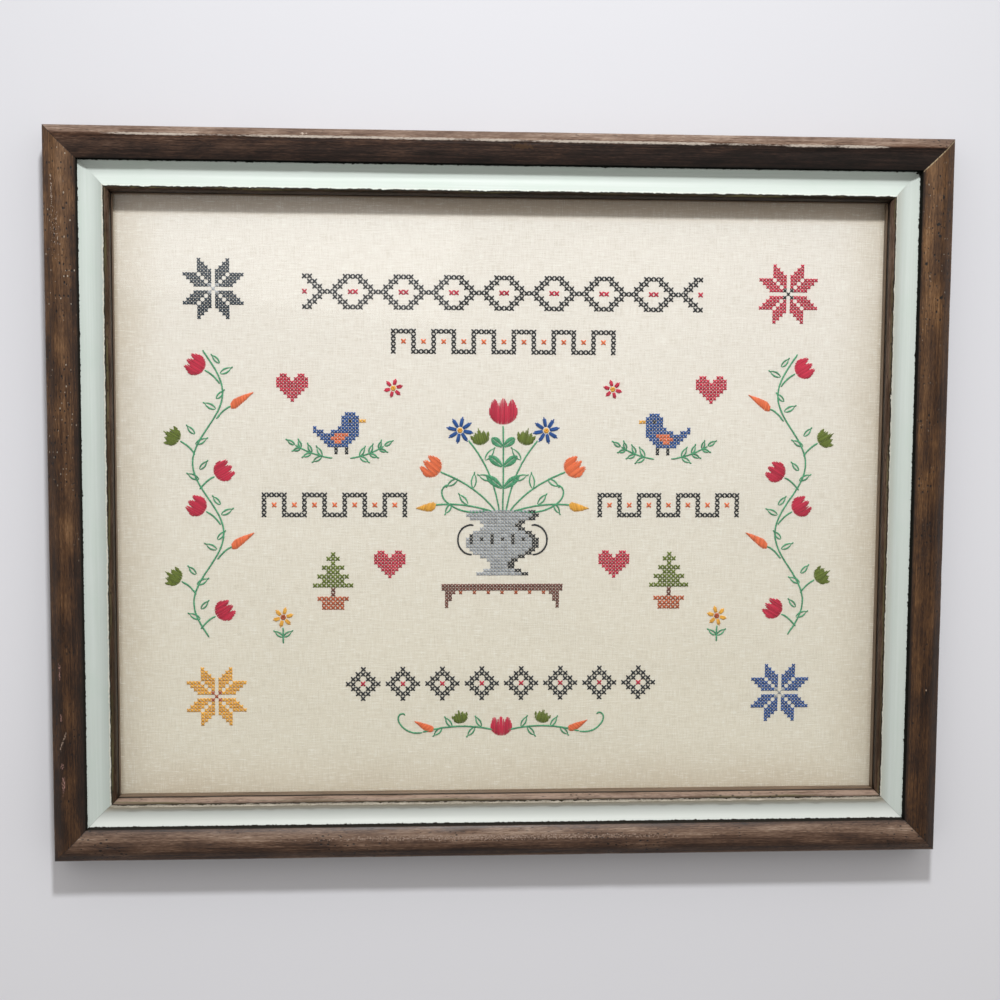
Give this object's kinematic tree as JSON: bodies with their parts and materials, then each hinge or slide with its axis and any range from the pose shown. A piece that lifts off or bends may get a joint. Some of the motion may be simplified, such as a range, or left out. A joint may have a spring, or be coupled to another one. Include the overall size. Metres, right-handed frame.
{
  "type": "glazed wooden picture frame with a framed needlework on linen",
  "caption": "Landscape needlework on stretched linen behind glass, in a mitred wooden frame with a stained raised face, a pale painted cove and a rounded lip.",
  "frame": {"origin": "middle of the frame's back, in the plane of the back faces that it lies on", "axes": "+X to the picture's right, +Y to the picture's top, +Z out of the picture's face"},
  "size_m": [0.533, 0.4312, 0.026],
  "materials": {
    "stained_wood": "walnut stain under a worn satin varnish, with a hand-painted pale mint cove",
    "clear_glass": "clear polished",
    "linen": "plain-woven cream linen, aged towards its edges, with cotton stitches in many colours",
    "board": "plain grey-brown fibreboard"
  },
  "bodies": {
    "root": {"rail_top": "stained_wood", "rail_bottom": "stained_wood", "rail_left": "stained_wood", "rail_right": "stained_wood", "glass_pane": "clear_glass", "linen_panel": "linen", "backing_board": "board"}
  },
  "joints": []
}
